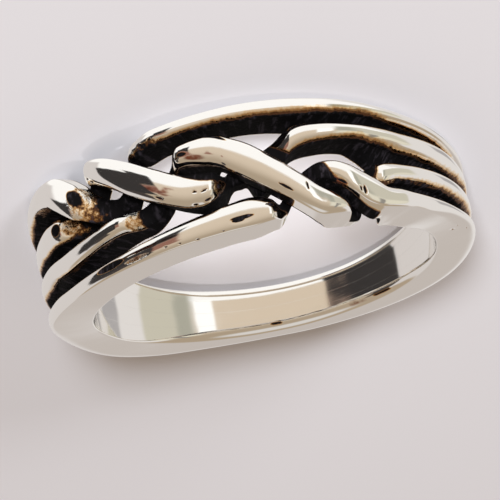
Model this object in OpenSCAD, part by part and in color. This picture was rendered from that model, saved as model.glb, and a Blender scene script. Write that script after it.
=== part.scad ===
// Woven four-band puzzle ring, lying on its rear side, braid toward -Y.
// Each band is one closed strand that runs round the finger hole. The four lie side by side in the shank
// and pass over and under each other in the braid.

/* [Ring] */
// Radius of the finger hole (mm)
hole_radius = 9.1; // [7:0.05:12]
// Gap between touching bands (mm)
seam = 0.03; // [0.02:0.01:0.06]
// Rounding of the two outer edges of the hole at the back of the shank (mm)
back_round = 0.45; // [0.15:0.05:0.5]
// Rounding of the same edges at the shoulders and braid (mm)
front_round = 0.1; // [0.05:0.05:0.15]

/* [Strands] */
// Depth of the domed top of a strand in the braid (mm)
dome_depth = 0.45; // [0.3:0.05:0.55]
// Extra depth of the dome where strands lie side by side (mm)
groove_depth = 0.3; // [0:0.05:0.4]
// Depth of the dome towards the front face of the front strand (mm)
face_dome = 0.2; // [0.1:0.05:0.45]
// Squareness of the dome, 2 is round
dome_power = 2.3; // [2:0.1:3]
// Rounding under a strand that is lifted over another (mm)
lift_round = 0.23; // [0.05:0.01:0.25]

/* [Finish] */
// Colour of the polished metal
silver_color = "#d9d6cf"; // [#d9d6cf:Silver, #e3c58a:Gold, #b9b9bd:Steel]

/* [Hidden] */

// The tables are drawn for this radius of hole. Angles run round the ring from the middle of the braid,
// sides are measured along the hole's axis from the rear (minus) to the front (plus), in mm.
drawn_radius = 9.1;
rear = 0;
rear_middle = 1;
front_middle = 2;
front = 3;

// Shank, from the left shoulder round the back to the right shoulder. Columns:
// angle, rear side, seam, seam, seam, front side, outer radius, front flanks of the three rear bands
shank = [
    [95, -2.2, -1.3, 0.08, 1.4, 2.45, 11.4, 0.12, 0.12, 0.15],
    [118, -1.6, -0.75, 0.12, 1.08, 2.08, 11.65, 0.06, 0.06, 0.06],
    [132, -1.42, -0.62, 0.14, 0.96, 1.8, 11.55, 0.05, 0.05, 0.05],
    [148, -1.3, -0.58, 0.14, 0.86, 1.58, 11.05, 0.05, 0.05, 0.05],
    [165, -1.18, -0.51, 0.16, 0.83, 1.5, 10.72, 0.05, 0.05, 0.05],
    [180, -1.12, -0.47, 0.18, 0.84, 1.5, 10.85, 0.05, 0.05, 0.05],
    [195, -1.13, -0.47, 0.18, 0.84, 1.5, 11.1, 0.05, 0.05, 0.05],
    [210, -1.25, -0.55, 0.13, 0.84, 1.56, 11.3, 0.05, 0.05, 0.05],
    [225, -1.42, -0.67, 0.1, 0.88, 1.66, 11.4, 0.06, 0.06, 0.06],
    [248, -1.72, -1, -0.02, 1.02, 1.9, 11.25, 0.1, 0.1, 0.1],
    [265, -2.04, -1.4, -0.12, 1.26, 2.1, 11.25, 0.15, 0.25, 0.22],
    [280, -2.32, -1.62, -0.06, 1.56, 2.35, 11.22, 0.2, 0.42, 0.5],
];

// The braid, one table for each strand. Columns:
// angle, rear side, front side, inner radius, outer radius, front flank
rear_weave = [
    [-60, -2.75, -1.7, 9.1, 11.2, 0.35],
    [-42, -3.05, -1.88, 9.1, 11.3, 0.3],
    [-32, -3.13, -1.92, 9.1, 11.35, 0.25],
    [-24, -3.2, -2.12, 9.1, 11.35, 0.08],
    [-14, -3.22, -2.26, 9.1, 11.35, 0],
    [-3, -3.2, -2.28, 9.1, 11.3, 0],
    [8, -3.15, -2.24, 9.1, 11.25, 0],
    [12, -3.15, -2.2, 9.1, 11.15, 0],
    [16, -3.05, -2.08, 9.1, 10.9, 0],
    [18, -2.98, -2.05, 9.1, 10.78, 0],
    [20, -2.75, -2.02, 9.1, 10.55, 0],
    [21.5, -2.2, -1.25, 9.1, 10.3, 0],
    [23, -1.5, -0.45, 9.1, 10.3, 0],
    [27, -0.72, 0.35, 9.1, 10.5, 0],
    [33, -1.1, 0.38, 9.7, 11.1, 0],
    [36, -1.62, 0.05, 10.12, 11.65, 0],
    [38, -2.15, -0.15, 10.25, 11.85, 0],
    [44, -3, -1.15, 10.3, 12, 0],
    [48, -3.2, -1.72, 10.1, 12, 0],
    [53, -3.25, -1.85, 9.5, 12, 0.15],
    [60, -3.1, -1.65, 9.1, 11.9, 0.5],
    [75, -2.65, -1.78, 9.1, 11.6, 0.15]
];
rear_middle_weave = [
    [-60, -1.66, 0.02, 9.1, 11.15, 0.52],
    [-54, -1.71, 0, 9.1, 11.15, 0.65],
    [-49, -1.76, -0.5, 9.1, 11.15, 0.22],
    [-44, -1.8, -0.86, 9.1, 11.15, 0],
    [-32, -1.84, -0.72, 9.1, 11.15, 0],
    [-26, -1.7, -0.4, 9.1, 10.98, 0],
    [-22, -1.3, 0.3, 9.1, 10.4, 0],
    [-20.5, -1.15, 0.8, 9.1, 10.3, 0],
    [-19, -1, 1.12, 9.1, 10.28, 0],
    [-17, -0.8, 1.35, 9.1, 10.28, 0],
    [-15, -0.65, 1.4, 9.1, 10.26, 0],
    [-13.5, -0.55, 1.15, 9.1, 10.22, 0],
    [-12, -0.5, 0.62, 9.1, 10.2, 0],
    [-10, -0.48, 0.62, 9.1, 10.18, 0],
    [-8, -0.42, 0.64, 9.1, 10.12, 0],
    [-6.8, -0.05, 0.8, 9.1, 10.12, 0],
    [-6, 0.12, 1, 9.1, 10.42, 0],
    [-5, 0.14, 1.25, 9.1, 10.95, 0],
    [-4, 0.12, 1.45, 9.15, 11.25, 0],
    [-2, 0.1, 1.72, 9.4, 11.5, 0],
    [0, 0.1, 1.84, 9.75, 11.62, 0],
    [4, -0.05, 1.72, 10.15, 11.65, 0],
    [10, -0.72, 1.17, 10.4, 11.8, 0],
    [18, -1.72, 0.2, 10.5, 11.8, 0],
    [25, -2.5, -0.85, 10.45, 11.7, 0],
    [31, -2.95, -1.55, 9.95, 11.4, 0],
    [34, -3, -1.75, 9.35, 11.1, 0],
    [36, -2.9, -1.84, 9.1, 10.32, 0],
    [37.5, -2.72, -1.6, 9.1, 10.1, 0],
    [41, -2.25, -0.95, 9.1, 10.1, 0],
    [46, -1.48, -0.2, 9.1, 10.15, 0],
    [51, -1.5, 0, 9.1, 11.1, 0.05],
    [56, -1.56, 0.25, 9.1, 11.35, 0.38],
    [62, -1.6, 0.33, 9.1, 11.45, 0.45],
    [75, -1.76, 0.1, 9.1, 11.5, 0.18]
];
front_middle_weave = [
    [-66, 0.02, 1.72, 9.1, 11.15, 0.6],
    [-58, 0.08, 1.76, 9.1, 11.1, 0.55],
    [-54, 0.14, 1.7, 9.1, 11.1, 0.35],
    [-51, 0.25, 1.68, 9.1, 11.1, 0.1],
    [-49, 0.4, 1.62, 9.1, 11, 0],
    [-48, 0.45, 1.48, 9.1, 10.75, 0],
    [-47, 0.5, 1.45, 9.1, 10.2, 0],
    [-46, 0.55, 2.3, 9.1, 10.04, 0],
    [-45, 0.65, 2.9, 9.1, 10.0, 0],
    [-43.5, 1, 3.04, 9.1, 9.95, 0],
    [-42, 1.6, 3.08, 9.1, 10.0, 0],
    [-41, 2.15, 3.1, 9.1, 10.1, 0],
    [-40, 2.7, 3.13, 9.1, 10.45, 0],
    [-38, 2.4, 3.16, 9.1, 11.1, 0],
    [-34, 2.1, 3.27, 9.3, 11.45, 0],
    [-30, 1.7, 3.3, 9.95, 11.6, 0],
    [-27, 1.28, 3.05, 10.3, 11.7, 0],
    [-20, 0.12, 2.05, 10.4, 11.8, 0],
    [-14, -0.85, 1.2, 10.4, 11.8, 0],
    [-8, -1.5, 0.3, 10.34, 11.75, 0],
    [-7, -1.57, 0.14, 10.32, 11.72, 0],
    [-6, -1.63, 0.01, 10.27, 11.7, 0],
    [-5, -1.68, -0.09, 9.75, 11.67, 0],
    [-3, -1.75, -0.25, 9.15, 11.6, 0],
    [2, -1.74, -0.4, 9.1, 11.48, 0.15],
    [5, -1.66, -0.45, 9.1, 11.28, 0.15],
    [7.5, -1.45, -0.62, 9.1, 10.42, 0],
    [8.5, -1.3, -0.4, 9.1, 10.2, 0],
    [10, -1, 0.15, 9.1, 10.15, 0],
    [13, -0.4, 0.9, 9.1, 10.15, 0],
    [19, 0.45, 1.5, 9.1, 10.5, 0],
    [26, 0.55, 1.55, 9.1, 11.1, 0],
    [38, 0.7, 1.68, 9.1, 11.2, 0],
    [45, 0.72, 1.85, 9.1, 11.25, 0.15],
    [51, 0.66, 2.25, 9.1, 11.3, 0.6],
    [62, 0.38, 2.12, 9.1, 11.4, 0.8],
    [75, 0.12, 1.8, 9.1, 11.5, 0.5]
];
front_weave = [
    [-66, 1.74, 2.74, 9.1, 11.38, 0.05],
    [-58, 1.8, 2.86, 9.1, 11.5, 0.08],
    [-54, 1.8, 2.97, 9.1, 11.58, 0.08],
    [-49, 1.82, 3.12, 10.05, 11.65, 0.12],
    [-46, 1.52, 3.22, 10.18, 11.7, 0.2],
    [-42, 1.1, 2.9, 10.3, 11.75, 0.1],
    [-38, 0.72, 2.2, 10.32, 11.8, 0],
    [-34.5, 0.48, 1.7, 10.15, 11.65, 0],
    [-31, 0.42, 1.3, 9.5, 11.2, 0],
    [-28, 0.52, 1.38, 9.1, 10.3, 0],
    [-25, 0.8, 1.85, 9.1, 10.1, 0],
    [-22, 1.6, 2.65, 9.1, 10.1, 0],
    [-20, 2.1, 3, 9.1, 10.4, 0],
    [-18, 1.95, 3.1, 9.1, 10.85, 0],
    [-16, 1.85, 3.2, 9.1, 11, 0],
    [-12, 1.75, 3.35, 9.1, 11.1, 0],
    [-6, 1.9, 3.4, 9.1, 11.13, 0],
    [0, 2.08, 3.45, 9.1, 11.15, 0],
    [20, 2.5, 3.5, 9.1, 11.15, 0],
    [35, 2.6, 3.45, 9.1, 11.15, 0],
    [50, 2.5, 3.35, 9.1, 11.2, 0],
    [62, 2.18, 3.15, 9.1, 11.3, 0],
    [75, 1.83, 2.88, 9.1, 11.4, 0]
];

// One table for each band: its strand of the braid, then its part of the shank
flank_columns = 3;
function shank_part(band) = [
    for (r = shank) [
        r[0], r[1 + band], r[2 + band], drawn_radius, r[6],
        band < flank_columns ? r[7 + band] : 0
    ]
];
weaves = [rear_weave, rear_middle_weave, front_middle_weave, front_weave];
bands = [for (band = [rear:front]) concat(weaves[band], shank_part(band))];

// Rows repeat every full turn
function row(rows, i) =
    let (turn = floor(i / len(rows)))
    rows[i - turn * len(rows)] + [360 * turn, 0, 0, 0, 0, 0];

// Smooth curve through the rows of a table, in every column at once
function seek(rows, a, i = -1) = a < row(rows, i + 1)[0] ? i : seek(rows, a, i + 1);
function along(rows, a) =
    let (
        i = seek(rows, a),
        before = row(rows, i - 1),
        from = row(rows, i),
        to = row(rows, i + 1),
        after = row(rows, i + 2),
        step = to[0] - from[0],
        t = (a - from[0]) / step,
        slope_from = (to - before) / (to[0] - before[0]),
        slope_to = (after - from) / (after[0] - from[0])
    )
    from * (2 * pow(t, 3) - 3 * pow(t, 2) + 1)
        + slope_from * step * (pow(t, 3) - 2 * pow(t, 2) + t)
        + to * (3 * pow(t, 2) - 2 * pow(t, 3))
        + slope_to * step * (pow(t, 3) - pow(t, 2));

function ease(x) = let (c = max(0, min(1, x))) c * c * (3 - 2 * c);
function bulge(x, power) = sign(x) * pow(abs(x), 2 / power);

// How far an angle lies from the braid, whose middle is a little to one side
braid_centre = 5;
function away(a) = let (b = abs(a - braid_centre)) b > 180 ? 360 - b : b;

// Cross-section of a band at an angle, as points [side, radius] that run from the front edge of the
// dome over the top, down the rear side, across the inner face and up the front side
dome_steps = 8;
function section(band, a) =
    let (
        r = along(bands[band], a),
        rear_side = r[1] + seam / 2,
        front_side = r[2] - seam / 2,
        inner = max(r[3], drawn_radius),
        outer = r[4],
        flank = max(r[5], 0),
        height = outer - inner,
        dome = min(dome_depth + groove_depth * ease((away(a) - 50) / 15), 0.42 * height),
        face_drop = min(face_dome, 0.42 * height),
        front_dome = band == front ? face_drop + (dome - face_drop) * ease((away(a) - 62) / 25) : dome,
        lift = ease((inner - drawn_radius) / 0.8),
        small = 0.03 + (lift_round - 0.03) * lift,
        edge = (front_round + (back_round - front_round) * ease((away(a) - 105) / 40)) * (1 - lift),
        rear_edge = band == rear ? max(small, edge) : small,
        front_edge = band == front ? max(small, edge) : small,
        crown = front_side - flank,
        middle = (rear_side + crown) / 2,
        half = (crown - rear_side) / 2,
        knee = inner + min(0.5, 0.35 * height),
        arc = 1 - sqrt(0.5)
    )
    concat(
        [
            for (k = [0:dome_steps])
                let (
                    t = 180 * k / dome_steps,
                    drop = t < 90 ? front_dome : dome
                )
                [
                    middle + half * bulge(cos(t), dome_power),
                    outer - drop + drop * bulge(sin(t), dome_power)
                ]
        ],
        [
            [rear_side, inner + rear_edge],
            [rear_side + arc * rear_edge, inner + arc * rear_edge],
            [rear_side + rear_edge, inner],
            [front_side - front_edge, inner],
            [front_side - arc * front_edge, inner + arc * front_edge],
            [front_side, inner + front_edge],
            [front_side, max(knee, inner + front_edge + 0.02)]
        ]
    );

// Angles of the sections: close together in the braid, wider apart round the shank
weave_from = -60;
weave_to = 68;
weave_sections = 80;
shank_sections = 40;
weave_step = (weave_to - weave_from) / weave_sections;
shank_step = (360 - weave_to + weave_from) / shank_sections;
stations = concat(
    [for (i = [0:weave_sections - 1]) weave_from + i * weave_step],
    [for (i = [0:shank_sections - 1]) weave_to + i * shank_step]
);

// The ring rests on the rear side of the braid and of the back, so its axis leans
lean_back = -6.31;
lean_side = -1.35;
braid_direction = 270;
function lay(p) =
    let (
        y = p[1] * cos(lean_back) - p[2] * sin(lean_back),
        z = p[1] * sin(lean_back) + p[2] * cos(lean_back)
    )
    [p[0] * cos(lean_side) + z * sin(lean_side), y, z * cos(lean_side) - p[0] * sin(lean_side)];

function band_points(band) = [
    for (a = stations)
        for (q = section(band, a))
            let (radius = q[1] + hole_radius - drawn_radius)
            lay([
                radius * cos(a + braid_direction),
                radius * sin(a + braid_direction),
                q[0]
            ])
];
points = [for (band = [rear:front]) band_points(band)];

// The middle of the underside is the origin
function least(axis) = min([for (band = points) min([for (p = band) p[axis]])]);
function most(axis) = max([for (band = points) max([for (p = band) p[axis]])]);
origin = [(least(0) + most(0)) / 2, (least(1) + most(1)) / 2, least(2)];

// Two triangles between each pair of neighbouring points of two neighbouring sections
module band(which) {
    rings = len(stations);
    sides = len(points[which]) / rings;
    faces = [
        for (i = [0:rings - 1])
            for (j = [0:sides - 1])
                let (
                    here = i * sides,
                    there = (i + 1) % rings * sides,
                    next = (j + 1) % sides
                )
                each [
                    [here + j, there + next, here + next],
                    [here + j, there + j, there + next]
                ]
    ];
    translate(-origin)
        polyhedron(points[which], faces, convexity = 10);
}

module rear_band() {
    color(silver_color)
        band(rear);
}

module rear_middle_band() {
    color(silver_color)
        band(rear_middle);
}

module front_middle_band() {
    color(silver_color)
        band(front_middle);
}

module front_band() {
    color(silver_color)
        band(front);
}

rear_band();
rear_middle_band();
front_middle_band();
front_band();
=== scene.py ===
# Woven four-strand puzzle ring in polished, slightly tarnished silver with painted shade in its recesses,
# lying on its rear side.
import math
import bpy
import numpy as np
from mathutils import Matrix, Vector


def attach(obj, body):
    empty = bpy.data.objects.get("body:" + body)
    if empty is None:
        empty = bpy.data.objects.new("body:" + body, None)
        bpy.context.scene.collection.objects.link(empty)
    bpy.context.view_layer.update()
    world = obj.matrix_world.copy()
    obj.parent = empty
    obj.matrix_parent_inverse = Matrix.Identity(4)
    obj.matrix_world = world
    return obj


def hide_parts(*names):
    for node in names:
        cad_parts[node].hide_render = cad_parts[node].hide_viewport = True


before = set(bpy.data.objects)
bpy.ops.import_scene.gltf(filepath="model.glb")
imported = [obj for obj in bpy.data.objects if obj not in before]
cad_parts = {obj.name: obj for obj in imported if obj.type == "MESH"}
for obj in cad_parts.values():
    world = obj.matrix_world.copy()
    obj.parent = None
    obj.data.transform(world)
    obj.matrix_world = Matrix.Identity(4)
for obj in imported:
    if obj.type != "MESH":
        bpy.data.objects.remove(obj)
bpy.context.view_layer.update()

mm = 0.001

# How the ring lies: the two leans of its axis and the way that the middle of the braid faces, in degrees,
# and the point under its middle that comes to the origin, in mm
ringPose = {"leanBack": -6.31, "leanSide": -1.35, "braidDirection": 270.0,
            "origin": (0.0961586, -0.34708, -2.41265)}

# Sizes that all four strands share, in mm. A pair is an angle away from the middle of the braid where a
# change of section starts (From) or ends (To), and the width of the change, in degrees
strandForm = {
    "boreRadius": 9.1,
    "middleRadius": 11,  # where lengths along a strand are measured
    "seam": 0.001,  # between two strands that lie side by side
    "domeDepth": 0.45,  # rounded top of a strand in the braid
    "grooveDepth": 0.3,  # what the top's edges fall more in the grooves of the shank
    "grooveFrom": (50, 15),
    "domeShare": 0.42,  # most of a strand's height that its top may take
    "domePower": 2.3,  # 2 is an ellipse, more is squarer
    "faceDome": 0.2,  # the front strand's top towards its front edge
    "faceFrom": (62, 25),
    "rearTilt": 0.15,  # slope of the rear strand's top
    "tiltTo": (80, 20),
    "boreFlare": 0.07,  # how much the hole widens across the rear strand
    "flareFrom": (100, 20),
    "backRound": 0.45,  # edges of the hole at the back
    "frontRound": 0.1,  # and at the braid
    "roundFrom": (105, 40),
    "liftRound": 0.23,  # lower edges of a strand that is lifted off the hole
    "liftHeight": 0.8,
    "sharpRound": 0.002,  # all other lower edges
    "kneeHeight": 0.5,  # straight foot of the front side, below its slanted flank
    "kneeShare": 0.35,
    "kneeGap": 0.02,
    "braidCentre": 5.0,
    "braidWeight": 1.5,  # how many more sections the braid gets than the shank
    "braidTo": (85, 20),
    "stations": 900,
    "domePoints": 49,
    "wallPoints": 9,
    "roundPoints": 6,
    "innerPoints": 9,
    "innerEdge": 0.015,  # share of the inner face between its last point and its edge
    "flankPoints": 7,
}

# Shank, from the left shoulder round the back to the right one: angle, rear side, three seams, front
# side, outer radius, front flanks of the three rear bands
shank = [
    (95, -2.2, -1.3, 0.08, 1.4, 2.45, 11.4, 0.12, 0.12, 0.15),
    (118, -1.6, -0.75, 0.12, 1.08, 2.08, 11.65, 0.06, 0.06, 0.06),
    (132, -1.42, -0.62, 0.14, 0.96, 1.8, 11.55, 0.05, 0.05, 0.05),
    (148, -1.3, -0.58, 0.14, 0.86, 1.58, 11.05, 0.05, 0.05, 0.05),
    (165, -1.18, -0.51, 0.16, 0.83, 1.5, 10.72, 0.05, 0.05, 0.05),
    (180, -1.12, -0.47, 0.18, 0.84, 1.5, 10.85, 0.05, 0.05, 0.05),
    (195, -1.13, -0.47, 0.18, 0.84, 1.5, 11.1, 0.05, 0.05, 0.05),
    (210, -1.25, -0.55, 0.13, 0.84, 1.56, 11.3, 0.05, 0.05, 0.05),
    (225, -1.42, -0.67, 0.1, 0.88, 1.66, 11.4, 0.06, 0.06, 0.06),
    (248, -1.72, -1, -0.02, 1.02, 1.9, 11.25, 0.1, 0.1, 0.1),
    (265, -2.04, -1.4, -0.12, 1.26, 2.1, 11.25, 0.15, 0.25, 0.22),
    (280, -2.32, -1.62, -0.06, 1.56, 2.35, 11.22, 0.2, 0.42, 0.5),
]

# Each strand through the braid: angle, rear side, front side, inner radius, outer radius, front flank
rearWeave = [
    (-60, -2.75, -1.7, 9.1, 11.2, 0.35),
    (-42, -3.05, -1.88, 9.1, 11.3, 0.3),
    (-32, -3.13, -1.92, 9.1, 11.35, 0.25),
    (-24, -3.2, -2.12, 9.1, 11.35, 0.08),
    (-14, -3.22, -2.26, 9.1, 11.35, 0),
    (-3, -3.2, -2.28, 9.1, 11.3, 0),
    (8, -3.15, -2.24, 9.1, 11.25, 0),
    (12, -3.15, -2.2, 9.1, 11.15, 0),
    (16, -3.05, -2.08, 9.1, 10.9, 0),
    (18, -2.98, -2.05, 9.1, 10.78, 0),
    (20, -2.75, -2.02, 9.1, 10.55, 0),
    (21.5, -2.2, -1.25, 9.1, 10.3, 0),
    (23, -1.5, -0.45, 9.1, 10.3, 0),
    (27, -0.72, 0.35, 9.1, 10.5, 0),
    (33, -1.1, 0.38, 9.7, 11.1, 0),
    (36, -1.62, 0.05, 10.12, 11.65, 0),
    (38, -2.15, -0.15, 10.25, 11.85, 0),
    (44, -3, -1.15, 10.3, 12, 0),
    (48, -3.2, -1.72, 10.1, 12, 0),
    (53, -3.25, -1.85, 9.5, 12, 0.15),
    (60, -3.1, -1.65, 9.1, 11.9, 0.5),
    (75, -2.65, -1.78, 9.1, 11.6, 0.15),
]
rearMiddleWeave = [
    (-60, -1.66, 0.02, 9.1, 11.15, 0.52),
    (-54, -1.71, 0, 9.1, 11.15, 0.65),
    (-49, -1.76, -0.5, 9.1, 11.15, 0.22),
    (-44, -1.8, -0.86, 9.1, 11.15, 0),
    (-32, -1.84, -0.72, 9.1, 11.15, 0),
    (-26, -1.7, -0.4, 9.1, 10.98, 0),
    (-22, -1.3, 0.3, 9.1, 10.4, 0),
    (-20.5, -1.15, 0.8, 9.1, 10.3, 0),
    (-19, -1, 1.12, 9.1, 10.28, 0),
    (-17, -0.8, 1.35, 9.1, 10.28, 0),
    (-15, -0.65, 1.4, 9.1, 10.26, 0),
    (-13.5, -0.55, 1.15, 9.1, 10.22, 0),
    (-12, -0.5, 0.62, 9.1, 10.2, 0),
    (-10, -0.48, 0.62, 9.1, 10.18, 0),
    (-8, -0.42, 0.64, 9.1, 10.12, 0),
    (-6.8, -0.05, 0.8, 9.1, 10.12, 0),
    (-6, 0.12, 1, 9.1, 10.42, 0),
    (-5, 0.14, 1.25, 9.1, 10.95, 0),
    (-4, 0.12, 1.45, 9.15, 11.25, 0),
    (-2, 0.1, 1.72, 9.4, 11.5, 0),
    (0, 0.1, 1.84, 9.75, 11.62, 0),
    (4, -0.05, 1.72, 10.15, 11.65, 0),
    (10, -0.72, 1.17, 10.4, 11.8, 0),
    (18, -1.72, 0.2, 10.5, 11.8, 0),
    (25, -2.5, -0.85, 10.45, 11.7, 0),
    (31, -2.95, -1.55, 9.95, 11.4, 0),
    (34, -3, -1.75, 9.35, 11.1, 0),
    (36, -2.9, -1.84, 9.1, 10.32, 0),
    (37.5, -2.72, -1.6, 9.1, 10.1, 0),
    (41, -2.25, -0.95, 9.1, 10.1, 0),
    (46, -1.48, -0.2, 9.1, 10.15, 0),
    (51, -1.5, 0, 9.1, 11.1, 0.05),
    (56, -1.56, 0.25, 9.1, 11.35, 0.38),
    (62, -1.6, 0.33, 9.1, 11.45, 0.45),
    (75, -1.76, 0.1, 9.1, 11.5, 0.18),
]
frontMiddleWeave = [
    (-66, 0.02, 1.72, 9.1, 11.15, 0.6),
    (-58, 0.08, 1.76, 9.1, 11.1, 0.55),
    (-54, 0.14, 1.7, 9.1, 11.1, 0.35),
    (-51, 0.25, 1.68, 9.1, 11.1, 0.1),
    (-49, 0.4, 1.62, 9.1, 11, 0),
    (-48, 0.45, 1.48, 9.1, 10.75, 0),
    (-47, 0.5, 1.45, 9.1, 10.2, 0),
    (-46, 0.55, 2.3, 9.1, 10.04, 0),
    (-45, 0.65, 2.9, 9.1, 10.0, 0),
    (-43.5, 1, 3.04, 9.1, 9.95, 0),
    (-42, 1.6, 3.08, 9.1, 10.0, 0),
    (-41, 2.15, 3.1, 9.1, 10.1, 0),
    (-40, 2.7, 3.13, 9.1, 10.45, 0),
    (-38, 2.4, 3.16, 9.1, 11.1, 0),
    (-34, 2.1, 3.27, 9.3, 11.45, 0),
    (-30, 1.7, 3.3, 9.95, 11.6, 0),
    (-27, 1.28, 3.05, 10.3, 11.7, 0),
    (-20, 0.12, 2.05, 10.4, 11.8, 0),
    (-14, -0.85, 1.2, 10.4, 11.8, 0),
    (-8, -1.5, 0.3, 10.34, 11.75, 0),
    (-7, -1.57, 0.14, 10.32, 11.72, 0),
    (-6, -1.63, 0.01, 10.27, 11.7, 0),
    (-5, -1.68, -0.09, 9.75, 11.67, 0),
    (-3, -1.75, -0.25, 9.15, 11.6, 0),
    (2, -1.74, -0.4, 9.1, 11.48, 0.15),
    (5, -1.66, -0.45, 9.1, 11.28, 0.15),
    (7.5, -1.45, -0.62, 9.1, 10.42, 0),
    (8.5, -1.3, -0.4, 9.1, 10.2, 0),
    (10, -1, 0.15, 9.1, 10.15, 0),
    (13, -0.4, 0.9, 9.1, 10.15, 0),
    (19, 0.45, 1.5, 9.1, 10.5, 0),
    (26, 0.55, 1.55, 9.1, 11.1, 0),
    (38, 0.7, 1.68, 9.1, 11.2, 0),
    (45, 0.72, 1.85, 9.1, 11.25, 0.15),
    (51, 0.66, 2.25, 9.1, 11.3, 0.6),
    (62, 0.38, 2.12, 9.1, 11.4, 0.8),
    (75, 0.12, 1.8, 9.1, 11.5, 0.5),
]
frontWeave = [
    (-66, 1.74, 2.74, 9.1, 11.38, 0.05),
    (-58, 1.8, 2.86, 9.1, 11.5, 0.08),
    (-54, 1.8, 2.97, 9.1, 11.58, 0.08),
    (-49, 1.82, 3.12, 10.05, 11.65, 0.12),
    (-46, 1.52, 3.22, 10.18, 11.7, 0.2),
    (-42, 1.1, 2.9, 10.3, 11.75, 0.1),
    (-38, 0.72, 2.2, 10.32, 11.8, 0),
    (-34.5, 0.48, 1.7, 10.15, 11.65, 0),
    (-31, 0.42, 1.3, 9.5, 11.2, 0),
    (-28, 0.52, 1.38, 9.1, 10.3, 0),
    (-25, 0.8, 1.85, 9.1, 10.1, 0),
    (-22, 1.6, 2.65, 9.1, 10.1, 0),
    (-20, 2.1, 3, 9.1, 10.4, 0),
    (-18, 1.95, 3.1, 9.1, 10.85, 0),
    (-16, 1.85, 3.2, 9.1, 11, 0),
    (-12, 1.75, 3.35, 9.1, 11.1, 0),
    (-6, 1.9, 3.4, 9.1, 11.13, 0),
    (0, 2.08, 3.45, 9.1, 11.15, 0),
    (20, 2.5, 3.5, 9.1, 11.15, 0),
    (35, 2.6, 3.45, 9.1, 11.15, 0),
    (50, 2.5, 3.35, 9.1, 11.2, 0),
    (62, 2.18, 3.15, 9.1, 11.3, 0),
    (75, 1.83, 2.88, 9.1, 11.4, 0),
]
weaves = [rearWeave, rearMiddleWeave, frontMiddleWeave, frontWeave]
strandTables = [
    np.array(weave + [(r[0], r[1 + i], r[2 + i], strandForm["boreRadius"], r[6], r[7 + i] if i < 3 else 0)
                      for r in shank], float)
    for i, weave in enumerate(weaves)
]


# Eases from 0 to 1: 3x^2 - 2x^3 on x held between 0 and 1
def ease(x):
    x = np.clip(x, 0, 1)
    return x * x * (3 - 2 * x)


# Raises a cosine or sine to 2/power and keeps its sign, which squares up a half ellipse
def squared(x, power):
    return np.sign(x) * np.abs(x) ** (2 / power)


# Angle away from the middle of the braid, 0 to 180 degrees
def awayFromBraid(angle):
    return np.abs((angle - strandForm["braidCentre"] + 180) % 360 - 180)


# How far a change of section has come, 0 to 1: ease of the angle past its start, over its width
def changed(away, change):
    start, width = strandForm[change]
    return ease((away - start) / width)


# How much of a form is left before its end, 1 to 0: ease of the angle up to its end, over its width
def kept(away, change):
    end, width = strandForm[change]
    return ease((end - away) / width)


# Value of one table column at each angle: a smooth cubic through the rows that closes on itself, with the
# slope at a row taken from its two neighbours
def throughRows(table, column, angle):
    at = np.concatenate([table[:, 0] - 360, table[:, 0], table[:, 0] + 360])
    value = np.tile(table[:, column], 3)
    slope = np.zeros_like(value)
    slope[1:-1] = (value[2:] - value[:-2]) / (at[2:] - at[:-2])
    i = np.clip(np.searchsorted(at, angle, side="right") - 1, 0, len(at) - 2)
    step = at[i + 1] - at[i]
    t = (angle - at[i]) / step
    return (value[i] * (2 * t**3 - 3 * t**2 + 1) + value[i + 1] * (3 * t**2 - 2 * t**3)
            + step * (slope[i] * (t**3 - 2 * t**2 + t) + slope[i + 1] * (t**3 - t**2)))


# Edges of a strand at each angle: rear side, front side, inner radius, outer radius, front flank
def strandEdges(which, angle):
    table = strandTables[which]
    rearSide, frontSide, inner, outer, flank = (throughRows(table, i, angle) for i in range(1, 6))
    inner = np.maximum(inner, strandForm["boreRadius"])
    halfSeam = strandForm["seam"] / 2
    return rearSide + halfSeam, frontSide - halfSeam, inner, outer, np.maximum(flank, 0)


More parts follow.
